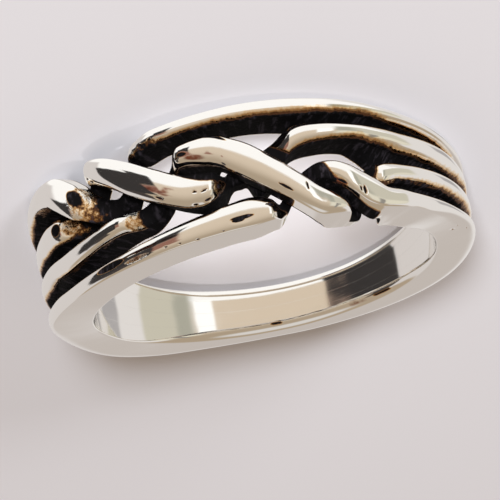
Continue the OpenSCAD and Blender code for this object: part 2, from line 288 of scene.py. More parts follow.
# Cross-section of a strand at each angle as (side, radius) points: a squared half ellipse over the top,
# straight down the rear side, a quarter round, the inner face, a quarter round, then up the front side
# and its slanted flank. The front strand's top falls less towards its front edge, which leaves that edge
# crisp. The rear strand's top leans a little to the rear, and its inner face widens a little towards the
# rear edge. Also returns the part that each point is on: 0 top, 1 rear wall, 2 inner face, 3 front side
def strandSection(which, angle):
    form = strandForm
    rearSide, frontSide, inner, outer, flank = (v[:, None] for v in strandEdges(which, angle))
    height = outer - inner
    away = awayFromBraid(angle)[:, None]
    dome = np.minimum(form["domeDepth"] + form["grooveDepth"] * changed(away, "grooveFrom"),
                      form["domeShare"] * height)
    faceDome = dome
    if which == 3:
        shallow = np.minimum(form["faceDome"], form["domeShare"] * height)
        faceDome = shallow + (dome - shallow) * changed(away, "faceFrom")
    lift = ease((inner - form["boreRadius"]) / form["liftHeight"])
    small = form["sharpRound"] + (form["liftRound"] - form["sharpRound"]) * lift
    edge = form["frontRound"] + (form["backRound"] - form["frontRound"]) * changed(away, "roundFrom")
    edge = edge * (1 - lift)
    rearEdge = np.maximum(small, edge) if which == 0 else small
    frontEdge = np.maximum(small, edge) if which == 3 else small
    crown = frontSide - flank

    t = np.linspace(0, math.pi, form["domePoints"])[None]
    sides = [(rearSide + crown) / 2 + (crown - rearSide) / 2 * squared(np.cos(t), form["domePower"])]
    depth = np.where(t < math.pi / 2, faceDome, dome)
    radii = [outer - depth + depth * squared(np.sin(t), form["domePower"])]
    if which == 0:
        slope = form["rearTilt"] * kept(away, "tiltTo")
        radii[0] = radii[0] + slope * (sides[0] - (rearSide + crown) / 2)

    f = (np.arange(form["wallPoints"])[None] + 1) / (form["wallPoints"] + 1)
    sides.append(rearSide + 0 * f)
    radii.append((outer - dome) * (1 - f) + (inner + rearEdge) * f)

    g = np.linspace(0, math.pi / 2, form["roundPoints"])[None]
    sides.append(rearSide + rearEdge * (1 - np.cos(g)))
    radii.append(inner + rearEdge * (1 - np.sin(g)))
    f = np.linspace(0.1, 0.9, form["innerPoints"] - 2)
    f = np.concatenate([[form["innerEdge"]], f, [1 - form["innerEdge"]]])[None]
    sides.append((rearSide + rearEdge) * (1 - f) + (frontSide - frontEdge) * f)
    flare = form["boreFlare"] * (frontSide - sides[-1]) * changed(away, "flareFrom") if which == 0 else 0
    radii.append(inner + flare * (1 - f) ** 0.5)
    sides.append(frontSide - frontEdge * (1 - np.sin(g)))
    radii.append(inner + frontEdge * (1 - np.cos(g)))

    knee = inner + np.minimum(form["kneeHeight"], form["kneeShare"] * height)
    knee = np.maximum(knee, inner + frontEdge + form["kneeGap"])
    f = np.arange(form["flankPoints"] + 1)[None] / (form["flankPoints"] + 1)
    sides.append(frontSide + 0 * f[:, 1:])
    radii.append((inner + frontEdge) * (1 - f[:, 1:]) + knee * f[:, 1:])
    sides.append(frontSide - flank * f)
    radii.append(knee * (1 - f) + (outer - faceDome) * f)

    zone = np.repeat([0, 1, 2, 2, 2, 3, 3], [s.shape[1] for s in sides])
    return np.concatenate(sides, axis=1), np.concatenate(radii, axis=1), zone, outer, inner, dome


# Matrix of the two leans that the ring lies at: round x, then round y
def leans():
    back, side = math.radians(ringPose["leanBack"]), math.radians(ringPose["leanSide"])
    tip = np.array([[1, 0, 0], [0, math.cos(back), -math.sin(back)], [0, math.sin(back), math.cos(back)]])
    sway = np.array([[math.cos(side), 0, math.sin(side)], [0, 1, 0], [-math.sin(side), 0, math.cos(side)]])
    return sway @ tip


# Turns (angle, side, radius) on the ring into metres in the frame: round the ring's axis, then the two
# leans, then the shift that puts the middle of the underside at the origin
def laid(angle, side, radius):
    turn = np.radians(angle + ringPose["braidDirection"])
    points = np.stack([radius * np.cos(turn), radius * np.sin(turn), side], axis=-1)
    return (points @ leans().T - np.array(ringPose["origin"])) * mm


# Angles of the sections, closer together through the braid than round the shank: the inverse of the
# running sum of a weight that falls to 1 past the braid
def stationAngles():
    s = (np.arange(strandForm["stations"]) + 0.5) / strandForm["stations"]
    fine = np.linspace(-180, 180, 3601)
    weight = 1 + strandForm["braidWeight"] * kept(awayFromBraid(fine), "braidTo")
    run = np.concatenate([[0], np.cumsum((weight[1:] + weight[:-1]) / 2)])
    return np.interp(s, run / run[-1], fine)


# Grid of points closed both ways into a mesh of quads, with a UV map in mm and one attribute for each
# mask. Along is the map's place of each row and across that of each point, and the strip that closes a
# row gets a width of its own
def ringMesh(name, points, along, across, masks, lastStrip=0.05):
    rows, columns = points.shape[:2]
    mesh = bpy.data.meshes.new(name)
    mesh.vertices.add(rows * columns)
    mesh.vertices.foreach_set("co", points.reshape(-1).astype(np.float32))
    i = np.arange(rows)[:, None]
    j = np.arange(columns)[None]
    here, there, beside = i * columns, (i + 1) % rows * columns, (j + 1) % columns
    quads = np.stack([here + j, there + j, there + beside, here + beside], axis=-1).reshape(-1)
    faces = len(quads) // 4
    mesh.loops.add(len(quads))
    mesh.loops.foreach_set("vertex_index", quads.astype(np.int32))
    mesh.polygons.add(faces)
    mesh.polygons.foreach_set("loop_start", np.arange(0, len(quads), 4, dtype=np.int32))
    mesh.polygons.foreach_set("loop_total", np.full(faces, 4, dtype=np.int32))
    mesh.polygons.foreach_set("use_smooth", np.ones(faces, dtype=bool))
    mesh.update(calc_edges=True)
    u = np.broadcast_to(along[:, None], (rows, columns))
    nextU = np.append(u[1:], u[:1] + along[-1] + along[1] - 2 * along[0], axis=0)
    nextAcross = np.roll(across, -1, axis=1)
    nextAcross[:, -1] = across[:, -1] + lastStrip
    uv = np.stack([u, across, nextU, across, nextU, nextAcross, u, nextAcross], axis=-1)
    mesh.uv_layers.new(name="strand").data.foreach_set("uv", uv.reshape(-1).astype(np.float32))
    for key, values in masks.items():
        layer = mesh.attributes.new(key, "FLOAT", "POINT")
        layer.data.foreach_set("value", np.ascontiguousarray(values, dtype=np.float32).reshape(-1))
    piece = bpy.data.objects.new(name, mesh)
    bpy.context.collection.objects.link(piece)
    return piece


# Where each strand is blackened, with black oxide and with painted shade down its sunken sides and under
# the other strands. Line: where the black of its front side begins, as angle and place across the top in
# mm from the front crown, less than 0 down the front side. Spans: stretches of angle (from, to, amount)
# where
# the front side differs. Fade: width in mm of the change from silver to black, by angle. Covered:
# stretches under other strands, which get painted shade, as angles (front start, rear start, front end,
# rear end), then the place of the lobe's tip and its bend
strandTarnishAndShade = [
    {"rear": 0.0, "front": 1.0, "spans": [], "covered": [(20, 20.5, 30.5, 34, 0, 0)],
     "fade": [(-100, 1.0), (-30, 0.9), (0, 0.6), (15, 0.4), (40, 0.5), (100, 0.8)],
     "line": [(-100, 0.0), (-80, 0.12), (-62, 0.1), (-50, 0.2), (-40, 0.24), (-20, 0.22), (8, 0.2),
              (18, 0.15), (45, -0.1), (55, -0.12), (60, 0.0), (66, 0.26), (72, 0.5), (80, 0.72),
              (90, 0.6), (110, 0.1)]},
    {"rear": 1.0, "front": 1.0, "spans": [],
     "covered": [(-26, -20, -6, -6, 0.6, 7), (33.5, 35.5, 44.5, 51, 0, 0)],
     "fade": [(-100, 1.0), (-50, 0.9), (-30, 0.6), (-8, 0.2), (28, 0.16), (40, 0.4), (60, 0.5),
              (100, 0.6)],
     "line": [(-110, 0.2), (-98, 0.5), (-90, 0.3), (-80, 0.16), (-70, 0.14), (-60, 0.24), (-45, 0.22),
              (-25, 0.2), (0, 0.04), (15, 0.02), (30, 0.12), (46, 0.1), (54, 0.12), (60, 0.14),
              (66, 0.42), (72, 0.6), (80, 0.78), (90, 0.6), (110, 0.1)]},
    {"rear": 1.0, "front": 1.0, "spans": [(-47, -23, 0.0)],
     "covered": [(-47, -50, -40.5, -29.5, 0, 0), (7.5, 4.5, 19.5, 20.5, 0, 0)],
     "fade": [(-100, 1.0), (-50, 0.8), (-24, 0.16), (8, 0.22), (22, 0.35), (40, 0.5), (100, 0.6)],
     "line": [(-120, 0.2), (-98, 0.42), (-85, 0.34), (-70, 0.36), (-58, 0.32), (-50, 0.3), (-20, 0.0),
              (0, -0.02), (25, 0.02), (40, 0.0), (60, 0.02), (68, 0.25), (76, 0.55), (84, 0.6),
              (110, 0.1)]},
    {"rear": 1.0, "front": 0.0, "spans": [(-47, -24, 1.0)], "covered": [(-34.5, -31.5, -22, -14, 0, 0)],
     "fade": [(-50, 0.3), (50, 0.3)],
     "line": [(-47, -0.4), (-36, -0.1), (-30, 0.0), (-20, 0.0)]},
]
# How the black of oxide and painted shade lies, in mm, unless it says degrees. Shown: height of a strand's
# top that stays clean at the rear, and rearRange the height that it then takes to turn black. FrontOffset:
# how black the front line is, 0 to 1. Shelter: how much higher a neighbour's top has to be, over what
# height its painted shade deepens, and how far it reaches. Lifted: height off the hole where the underside
# starts
# to blacken with painted shade, the height that takes, and how black it gets. SpanEnds and coveredEnds:
# widths of the ends of these stretches, in degrees. Curve: power of a covered stretch's outline
tarnishAndShadeForm = {"shown": 0.45, "rearRange": 0.15, "frontOffset": 0.78, "shelter": (0.25, 0.8, 0.45),
               "lifted": (0.1, 0.4, 0.85), "spanEnds": 1.5, "coveredEnds": 2.2, "curve": 1.5}

# Small marks on the strands: kind, strand, angle, place across in mm, half lengths along (degrees) and
# across (mm), turn in degrees. Rough: pitted casting skin. Black: oxide left in a hollow, except the front
# strand's one at 30 degrees, a painted dark reflection. Stain: reddish tarnish. Pit: small hole. Dent:
# smooth hollow
strandMarks = [
    ("rough", 0, 14.5, 0.25, 6, 0.34, 0), ("rough", 0, 32.5, 0.7, 5, 1.0, 0),
    ("rough", 0, 34.5, 2.3, 2.5, 0.7, 0), ("pit", 0, 13.4, 0.42, 0.9, 0.1, 0),
    ("pit", 0, 16, 0.33, 1.1, 0.1, 10), ("pit", 0, 18.4, 0.22, 0.7, 0.08, 0),
    ("pit", 0, 11, 0.55, 0.5, 0.06, 0), ("pit", 0, 14.6, 0.62, 0.8, 0.07, 20),
    ("pit", 0, 19.6, 0.3, 0.5, 0.1, 0), ("rough", 0, 55, 0.0, 7, 0.16, 0),
    ("black", 0, 36.6, 1.45, 1.5, 0.42, -12),
    ("black", 1, 52, 1.0, 1.5, 0.34, 0), ("rough", 1, 46, 0.15, 3, 0.6, 0),
    ("rough", 1, 48.6, 0.85, 1.6, 0.4, 0), ("pit", 1, -1.4, 0.82, 0.8, 0.05, -6),
    ("pit", 1, 0.9, 0.9, 0.5, 0.05, 0), ("stain", 1, 10, 0.86, 2.6, 0.12, 0),
    ("stain", 1, 7.6, 1.02, 1.6, 0.05, 0), ("stain", 1, 8.5, 0.68, 1.8, 0.05, 0),
    ("rough", 1, -4.6, 0.6, 1.0, 0.4, 0), ("pit", 1, -4.9, 0.62, 0.4, 0.1, 0),
    ("black", 1, 4, 0.14, 6, 0.03, 0), ("pit", 1, -1.8, 0.3, 0.8, 0.07, 0),
    ("pit", 1, 1.4, 0.24, 0.6, 0.06, 0), ("pit", 1, 10, 0.45, 0.9, 0.06, 0),
    ("black", 1, -28, 1.45, 2.6, 0.12, 0), ("pit", 1, 30.4, 0.36, 0.5, 0.07, 0),
    ("pit", 1, 31.8, 0.55, 0.3, 0.06, 0),
    ("black", 2, -21.3, 0.57, 1.6, 0.08, 0), ("black", 2, -26.6, 1.3, 0.3, 0.22, 0),
    ("black", 2, -28, 1.9, 5.5, 0.04, 0), ("stain", 2, -0.4, 0.52, 2.4, 0.13, 0),
    ("black", 2, 2.8, 0.74, 1.3, 0.11, 0), ("pit", 2, 4.4, 0.62, 0.4, 0.06, 0),
    ("black", 2, -19.6, 2.06, 2.4, 0.13, 0), ("black", 2, -5.6, 1.82, 3.2, 0.15, 0),
    ("rough", 2, 21.3, 0.65, 2.2, 0.5, 0), ("rough", 2, 34, -0.05, 4, 0.1, 0),
    ("rough", 2, -58, 0.46, 10, 0.1, 0),
    ("dent", 3, -9.2, 0.52, 3.2, 0.22, 0), ("black", 3, -9.3, 0.6, 3.0, 0.1, 0),
    ("black", 3, -8.2, 0.5, 1.6, 0.1, 0), ("black", 3, -17.3, 0.84, 0.8, 0.1, 25),
    ("black", 3, -16.4, 0.92, 0.6, 0.05, 0), ("stain", 3, 15, 0.66, 7, 0.06, 0),
    ("black", 3, 20, 0.62, 4.5, 0.04, 0), ("stain", 3, 20.5, 0.36, 3, 0.09, 0),
    # The front strand's black mark at 30 degrees is a painted dark reflection
    ("rough", 3, 21, 0.3, 3.4, 0.1, 0), ("black", 3, 30, 0.56, 5, 0.2, 0),
    ("pit", 3, -41.2, 0.5, 0.4, 0.22, 0), ("pit", 3, -40.2, 0.4, 0.25, 0.12, 0),
    ("pit", 3, -35.8, 0.16, 1.0, 0.08, 0), ("rough", 3, -34, 0.12, 3.4, 0.28, 0),
    ("stain", 3, -34, 0.1, 3, 0.16, 0), ("pit", 3, 3, 0.12, 0.4, 0.04, 0),
    ("pit", 3, 8, 0.22, 0.3, 0.03, 0), ("pit", 3, -4, 0.15, 0.3, 0.03, 0),
    ("pit", 3, 12, 0.3, 0.3, 0.03, 0), ("pit", 3, -66, -0.12, 0.9, 0.04, 0),
    ("pit", 3, -88.5, -0.1, 0.5, 0.025, 0), ("pit", 3, -86, 0.16, 0.5, 0.025, 0),
    ("pit", 3, -91.5, 0.4, 0.5, 0.025, 0), ("pit", 3, -82, -0.4, 0.4, 0.02, 0),
    ("black", 3, 169.4, -0.96, 2.4, 0.06, 0), ("stain", 3, -161.5, -1.2, 3.0, 0.1, 0),
    ("black", 3, -151, -1.3, 5.5, 0.05, 0),
]
markDepth = {"pit": 0.05, "dent": 0.035, "black": 0.012}
markRim = {"reach": 1.35, "fade": 0.6, "dentReach": 1.3}  # distance where a mark ends, width of its rim


# Ease that rises at one place and falls at another, each over the same width: the product of the two
def between(x, start, end, width):
    return ease((x - start) / width + 0.5) * ease((end - x) / width + 0.5)


# Masks and hollows from the marks of one strand. Each mark is 1 inside its ellipse and fades over its
# rim: the distance is the root of the squared offsets along and across, each divided by its half length
def markMasks(which, angle, place):
    masks = {"rough": np.zeros_like(place), "stain": np.zeros_like(place), "black": np.zeros_like(place)}
    hollow = np.zeros_like(place)
    perDegree = math.radians(1) * strandForm["middleRadius"]
    for kind, strand, at, across, halfAngle, halfAcross, turn in strandMarks:
        if strand != which:
            continue
        along = ((angle - at + 180) % 360 - 180) * perDegree
        c, t = math.cos(math.radians(turn)), math.sin(math.radians(turn))
        u = along * c + (place - across) * t
        v = (place - across) * c - along * t
        far = np.hypot(u / (halfAngle * perDegree), v / halfAcross)
        if kind == "dent":
            inside = ease((markRim["dentReach"] - far) / markRim["dentReach"])
            hollow = np.maximum(hollow, markDepth[kind] * inside)
            continue
        inside = ease((markRim["reach"] - far) / markRim["fade"])
        key = "black" if kind == "pit" else kind
        masks[key] = np.maximum(masks[key], inside)
        hollow = np.maximum(hollow, markDepth.get(kind, 0) * inside)
    return masks, hollow


# Painted shade from the other three strands: how far a point lies down beside or under them, 0 open to 1
# buried. For each neighbour, how much higher its top is than the point, faded with the gap across to it
def shadeFromNeighbours(which, angle, side, radius):
    least, rise, reach = tarnishAndShadeForm["shelter"]
    deep = np.zeros_like(side)
    for other in range(4):
        if other == which:
            continue
        rearSide, frontSide, _, outer, _ = (v[:, None] for v in strandEdges(other, angle))
        gap = np.maximum(np.maximum(rearSide - side, side - frontSide), 0)
        above = ease((outer - least - radius) / rise)
        deep = np.maximum(deep, above * np.exp(-(gap / reach) ** 2))
    return deep


# Painted shade on the stretches of a strand that lie under others, 0 to 1: between a start and an end that
# move with the share of the way across the top, the end along a curve and with a lobe
def coveredShadeMask(stretches, angle, place, share):
    covered = np.zeros_like(place)
    for frontStart, rearStart, frontEnd, rearEnd, tip, bend in stretches:
        first = frontStart + (rearStart - frontStart) * share
        last = (frontEnd + (rearEnd - frontEnd) * share ** tarnishAndShadeForm["curve"]
                + bend * np.abs(place - tip) ** tarnishAndShadeForm["curve"])
        covered = np.maximum(covered, between(angle, first, last, tarnishAndShadeForm["coveredEnds"]))
    return covered


# One strand: its section at every station, and the masks that its finish reads. Recess, which holds black
# oxide and painted shade, rises to 1 down a blackened side: on the front side with the distance past the
# black line, on the rear side with the depth below the top, and wherever another strand stands over or
# close beside the surface. An underside lifted off the hole gets painted shade as well. The marks' hollows
# are cut along the normals
def makeStrand(which, name):
    setup = strandTarnishAndShade[which]
    angle = stationAngles()
    side, radius, zone, outer, inner, dome = strandSection(which, angle)
    across = np.cumsum(np.hypot(np.diff(side, axis=1), np.diff(radius, axis=1)), axis=1)
    across = np.concatenate([np.zeros((len(angle), 1)), across], axis=1)
    along = np.radians(angle) * strandForm["middleRadius"]

    column = np.arange(len(zone))
    domeHalf, domeEnd = strandForm["domePoints"] // 2, strandForm["domePoints"] - 1
    front = (zone == 3) | ((zone == 2) & (column > np.argmax(zone == 2) + strandForm["roundPoints"]))
    place = np.where(front[None], across - across[:, -1:], across)
    frontHalf = (zone == 3) | (column < domeHalf)
    rearHalf = (zone == 1) | ((zone == 0) & (column > domeHalf))

    frontAmount = setup["front"] * np.ones_like(angle)
    for start, end, value in setup["spans"]:
        inside = between(angle, start, end, tarnishAndShadeForm["spanEnds"])
        frontAmount = frontAmount * (1 - inside) + value * inside
    frontAmount = frontAmount[:, None]
    line, fade = (np.interp(angle, *zip(*setup[key]))[:, None] for key in ("line", "fade"))
    fromFront = np.clip(tarnishAndShadeForm["frontOffset"] + (line - place) / fade, 0, 1)
    below = outer - radius - np.minimum(dome, tarnishAndShadeForm["shown"])
    fromRear = setup["rear"] * rearHalf * ease(below / tarnishAndShadeForm["rearRange"])
    sideDark = np.where(frontHalf, frontAmount * fromFront, fromRear)

    share = np.clip(place / across[:, domeEnd:domeEnd + 1], 0, 1)
    covered = coveredShadeMask(setup["covered"], angle[:, None], place, share)
    # Painted shade where other strands stand over or beside the surface, and on undersides lifted off the
    # hole
    openFace = (zone == 3) * (1 - frontAmount)
    deep = np.maximum(shadeFromNeighbours(which, angle, side, radius), covered) * (1 - openFace)
    liftFrom, liftRange, underside = tarnishAndShadeForm["lifted"]
    lifted = underside * ease((inner - strandForm["boreRadius"] - liftFrom) / liftRange)
    recess = np.where(zone == 2, lifted, np.maximum(sideDark, deep))
    masks, hollow = markMasks(which, angle[:, None], place)
    masks["recess"] = np.maximum(recess, masks.pop("black"))

    section = np.stack([side, radius], axis=-1)
    ahead = np.roll(section, -1, axis=1) - np.roll(section, 1, axis=1)
    length = np.maximum(np.hypot(ahead[..., 0], ahead[..., 1]), 1e-6)
    side = side - hollow * ahead[..., 1] / length
    radius = radius + hollow * ahead[..., 0] / length
    points = laid(angle[:, None] + 0 * side, side, radius)
    return ringMesh(name, points, along, across, masks)


# Node helpers. Each takes plain values or sockets and returns the output socket
def newGroup(name, inputs, outputs):
    group = bpy.data.node_groups.new(name, "ShaderNodeTree")
    for label, kind, value in inputs:
        socket = group.interface.new_socket(label, in_out="INPUT", socket_type=kind)
        if value is not None:
            socket.default_value = value
    for label, kind in outputs:
        group.interface.new_socket(label, in_out="OUTPUT", socket_type=kind)
    return group, group.nodes.new("NodeGroupInput"), group.nodes.new("NodeGroupOutput")


def feed(tree, socket, value):
    if isinstance(value, (int, float)):
        socket.default_value = value
    elif isinstance(value, tuple):
        socket.default_value = value + (1.0,) * (4 - len(value)) if socket.type == "RGBA" else value
    else:
        tree.links.new(value, socket)


def calc(tree, operation, *values, clamp=False):
    node = tree.nodes.new("ShaderNodeMath")
    node.operation = operation
    node.use_clamp = clamp
    for socket, value in zip(node.inputs, values):
        feed(tree, socket, value)
    return node.outputs[0]


def noise(tree, vector, scale, detail, rough, distortion=0.0):
    node = tree.nodes.new("ShaderNodeTexNoise")
    for label, value in (("Vector", vector), ("Scale", scale), ("Detail", detail), ("Roughness", rough),
                         ("Distortion", distortion)):
        feed(tree, node.inputs[label], value)
    return node.outputs[0]


def stretched(tree, vector, scale):
    node = tree.nodes.new("ShaderNodeMapping")
    feed(tree, node.inputs["Vector"], vector)
    feed(tree, node.inputs["Scale"], scale)
    return node.outputs[0]


def remap(tree, value, low, high, toLow=0.0, toHigh=1.0, kind="SMOOTHSTEP"):
    node = tree.nodes.new("ShaderNodeMapRange")
    node.interpolation_type = kind
    for label, v in (("Value", value), ("From Min", low), ("From Max", high), ("To Min", toLow),
                     ("To Max", toHigh)):
        feed(tree, node.inputs[label], v)
    return node.outputs[0]


def blend(tree, factor, a, b):
    node = tree.nodes.new("ShaderNodeMix")
    node.data_type = "RGBA"
    for index, value in ((0, factor), (6, a), (7, b)):
        feed(tree, node.inputs[index], value)
    return node.outputs[2]


def placeGroup(tree, group, **values):
    node = tree.nodes.new("ShaderNodeGroup")
    node.node_tree = group
    for label, value in values.items():
        feed(tree, node.inputs[label], value)
    return node


# Noises are scale, detail, roughness and distortion. Place is in metres and Strand in mm along and across
polishLook = {
    "wave": (420.0, 1.5, 0.4),
    "drawnStretch": (0.35, 14.0, 1.0),
    "drawn": (1.6, 3.0, 0.6),
    "drawnHeight": 0.02,
    "grain": (5200.0, 3.0, 0.6),
    "grainHeight": 0.006,
    "dull": (0.45, 0.8),
}


# Hand polish: a slow wave of the surface and fine drawn marks along the strand
def makePolishGroup():
    look = polishLook
    group, into, out = newGroup("handPolish", [
        ("Place", "NodeSocketVector", None), ("Strand", "NodeSocketVector", None),
        ("Wave", "NodeSocketFloat", 1.0), ("Marks", "NodeSocketFloat", 1.0)],
        [("Height", "NodeSocketFloat"), ("Dullness", "NodeSocketFloat")])
    given = into.outputs
    wave = noise(group, given["Place"], *look["wave"])
    drawn = noise(group, stretched(group, given["Strand"], look["drawnStretch"]), *look["drawn"])
    grain = noise(group, given["Place"], *look["grain"])
    marks = calc(group, "MULTIPLY", calc(group, "MULTIPLY", drawn, look["drawnHeight"]), given["Marks"])
    height = calc(group, "ADD", calc(group, "MULTIPLY", wave, given["Wave"]), marks)
    height = calc(group, "ADD", height, calc(group, "MULTIPLY", grain, look["grainHeight"]))
    feed(group, out.inputs["Height"], height)
    feed(group, out.inputs["Dullness"], remap(group, drawn, *look["dull"]))
    return group


# Where each tone of the tarnish and painted shade begins and is full, by depth, then what breaks it up
tarnishAndShadeLook = {
    "peach": (0.26, 0.42),
    "gold": (0.4, 0.54),
    "brown": (0.52, 0.66),
    "black": (0.64, 0.8),
    "coarse": (1100.0, 3.0, 0.6),
    "fine": (4200.0, 4.0, 0.62),
    "coarseShare": 1.2,
    "roughRagged": 0.7,
    "roughLift": 0.5,
    "streakStretch": (2.2, 0.55, 1.0),
    "cloud": (1.3, 4.0, 0.66, 0.3),
    "cloudSpan": (0.5, 0.7),
    "cloudShare": 0.5,
    "glint": (4.5, 3.0, 0.6, 0.2),
    "glintSpan": (0.69, 0.77),
    "redSpan": (0.3, 0.62),
    "oxideSkin": 0.6,
}


# Tarnish and painted shade: black, for oxide and for shade in the recesses, through brown, gold and peach
# to clean silver. The depth is the recess mask shifted by noise in two sizes, more where the skin is
# rough, so that its edges are ragged. Lighter streaks across the black are a random mottle with painted
# glints. One output is 1 where the metal is brown or darker and another where it is black, each for oxide
# and painted shade, and Skin is the height of its grain
def makeTarnishAndShadeGroup():
    look = tarnishAndShadeLook
    group, into, out = newGroup("tarnishAndShade", [
        ("Place", "NodeSocketVector", None), ("Strand", "NodeSocketVector", None),
        ("Recess", "NodeSocketFloat", 0.0), ("Rough", "NodeSocketFloat", 0.0),
        ("Stain", "NodeSocketFloat", 0.0), ("Ragged", "NodeSocketFloat", 0.35),
        ("Silver", "NodeSocketColor", (0.9, 0.88, 0.85, 1.0)),
        ("Peach", "NodeSocketColor", (0.9, 0.74, 0.54, 1.0)),
        ("Gold", "NodeSocketColor", (0.6, 0.36, 0.16, 1.0)),
        ("Brown", "NodeSocketColor", (0.12, 0.05, 0.022, 1.0)),
        ("Black", "NodeSocketColor", (0.004, 0.0035, 0.0035, 1.0)),
        ("MottleAndGlint", "NodeSocketColor", (0.045, 0.036, 0.042, 1.0)),
        ("Red", "NodeSocketColor", (0.3, 0.1, 0.06, 1.0))],
        [("Color", "NodeSocketColor"), ("OxideAndShade", "NodeSocketFloat"), ("BlackOxideAndShade", "NodeSocketFloat"),
         ("Skin", "NodeSocketFloat")])
    given = into.outputs
    coarse = noise(group, given["Place"], *look["coarse"])
    fine = noise(group, given["Place"], *look["fine"])
    shift = calc(group, "MULTIPLY", calc(group, "SUBTRACT", coarse, 0.5), look["coarseShare"])
    shift = calc(group, "ADD", shift, calc(group, "SUBTRACT", fine, 0.5))
    amount = calc(group, "MULTIPLY", given["Rough"], look["roughRagged"])
    amount = calc(group, "ADD", amount, given["Ragged"])
    lift = calc(group, "MULTIPLY", calc(group, "MULTIPLY", given["Rough"], look["roughLift"]),
                calc(group, "SUBTRACT", 1.0, given["Recess"], clamp=True))
    depth = calc(group, "ADD", given["Recess"], lift)
    depth = calc(group, "ADD", depth, calc(group, "MULTIPLY", shift, amount))
    tones = ("peach", "gold", "brown", "black")
    peach, gold, brown, black = (remap(group, depth, *look[tone]) for tone in tones)
    # Lighter streaks in the black: a random mottle and painted glints, both in the one streak colour
    strand = stretched(group, given["Strand"], look["streakStretch"])
    cloud = remap(group, noise(group, strand, *look["cloud"]), *look["cloudSpan"])
    glint = remap(group, noise(group, strand, *look["glint"]), *look["glintSpan"])
    mottleAndGlints = calc(group, "MAXIMUM", calc(group, "MULTIPLY", cloud, look["cloudShare"]), glint)
    red = calc(group, "MULTIPLY", given["Stain"], remap(group, coarse, *look["redSpan"]))
    dark = blend(group, mottleAndGlints, given["Black"], given["MottleAndGlint"])
    color = given["Silver"]
    for factor, tone in ((peach, given["Peach"]), (gold, given["Gold"]), (brown, given["Brown"]),
                         (red, given["Red"]), (black, dark)):
        color = blend(group, factor, color, tone)
    skin = calc(group, "MULTIPLY", brown, look["oxideSkin"])
    skin = calc(group, "ADD", skin, given["Rough"], clamp=True)
    skin = calc(group, "MULTIPLY", fine, skin)
    for label, value in (("Color", color), ("OxideAndShade", brown), ("BlackOxideAndShade", black), ("Skin", skin)):
        feed(group, out.inputs[label], value)
    return group


polishGroup = makePolishGroup()
tarnishAndShadeGroup = makeTarnishAndShadeGroup()

strandFinish = {
    "silver": (0.93, 0.91, 0.88),
    "roughness": 0.07,
    "oxideRoughness": 0.36,
    "dullness": 0.03,
    "ragged": 0.32,
    "blackAndShadeMetal": 0.1,
    "blackAndShadeShine": 0.0,
    "skinBump": 2.4,
    "wave": 1.0,
    "marks": 1.0,
    "bump": 0.00003,
}


# Polished silver with tarnish and painted shade in the recesses. The black of oxide and painted shade is
# hardly metal and has no shine: black stays black
def silverMaterial(name, finish):
    material = bpy.data.materials.new(name)
    material.use_nodes = True
    tree = material.node_tree
    shader = tree.nodes["Principled BSDF"]
    coords = tree.nodes.new("ShaderNodeTexCoord")
    uv = tree.nodes.new("ShaderNodeUVMap")
    uv.uv_map = "strand"
    masks = {}
    for key in ("recess", "rough", "stain"):
        node = tree.nodes.new("ShaderNodeAttribute")
        node.attribute_name = key
        masks[key] = node.outputs["Fac"]
    where = {"Place": coords.outputs["Object"], "Strand": uv.outputs[0]}
    tarnishAndShade = placeGroup(tree, tarnishAndShadeGroup, **where, Recess=masks["recess"], Rough=masks["rough"],
                         Stain=masks["stain"], Ragged=finish["ragged"], Silver=finish["silver"]).outputs
    polish = placeGroup(tree, polishGroup, **where, Wave=finish["wave"], Marks=finish["marks"]).outputs
    rough = remap(tree, tarnishAndShade["OxideAndShade"], 0, 1, finish["roughness"], finish["oxideRoughness"], "LINEAR")
    rough = calc(tree, "ADD", rough, calc(tree, "MULTIPLY", polish["Dullness"], finish["dullness"]))
    metal = remap(tree, tarnishAndShade["BlackOxideAndShade"], 0, 1, 1, finish["blackAndShadeMetal"], "LINEAR")
    skin = calc(tree, "MULTIPLY", tarnishAndShade["Skin"], finish["skinBump"])
    height = calc(tree, "ADD", polish["Height"], skin)
    bump = tree.nodes.new("ShaderNodeBump")
    bump.inputs["Strength"].default_value = 1.0
    bump.inputs["Distance"].default_value = finish["bump"]
    feed(tree, bump.inputs["Height"], height)
    feed(tree, shader.inputs["Base Color"], tarnishAndShade["Color"])
    feed(tree, shader.inputs["Roughness"], rough)
    feed(tree, shader.inputs["Metallic"], metal)
    feed(tree, shader.inputs["Normal"], bump.outputs[0])
    shader.inputs["Specular IOR Level"].default_value = finish["blackAndShadeShine"]
    return material


silver = silverMaterial("polishedSilver", strandFinish)
strandNodes = {"rear": "rear_band", "rearMiddle": "rear_middle_band", "frontMiddle": "front_middle_band",
               "front": "front_band"}
for which, (name, node) in enumerate(strandNodes.items()):
    strand = makeStrand(which, name + "Strand")
    strand.data.materials.append(silver)
    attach(strand, "root")
    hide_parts(node)
print("strands made")

floorSetup = {"halfSize": 3.0, "color": (0.78, 0.745, 0.76, 1), "roughness": 0.9, "shine": 0.1}


# Floor of pale paper, which the metal doesn't mirror
def makeFloor():
    half = floorSetup["halfSize"]
    mesh = bpy.data.meshes.new("floor")
    corners = [(-half, -half, 0), (half, -half, 0), (half, half, 0), (-half, half, 0)]
    mesh.from_pydata(corners, [], [(0, 1, 2, 3)])
    floor = bpy.data.objects.new("floor", mesh)
    bpy.context.collection.objects.link(floor)
    paper = bpy.data.materials.new("palePaper")
    paper.use_nodes = True
    shader = paper.node_tree.nodes["Principled BSDF"]
    shader.inputs["Base Color"].default_value = floorSetup["color"]
    shader.inputs["Roughness"].default_value = floorSetup["roughness"]
    shader.inputs["Specular IOR Level"].default_value = floorSetup["shine"]
    mesh.materials.append(paper)
    floor.visible_glossy = False


makeFloor()

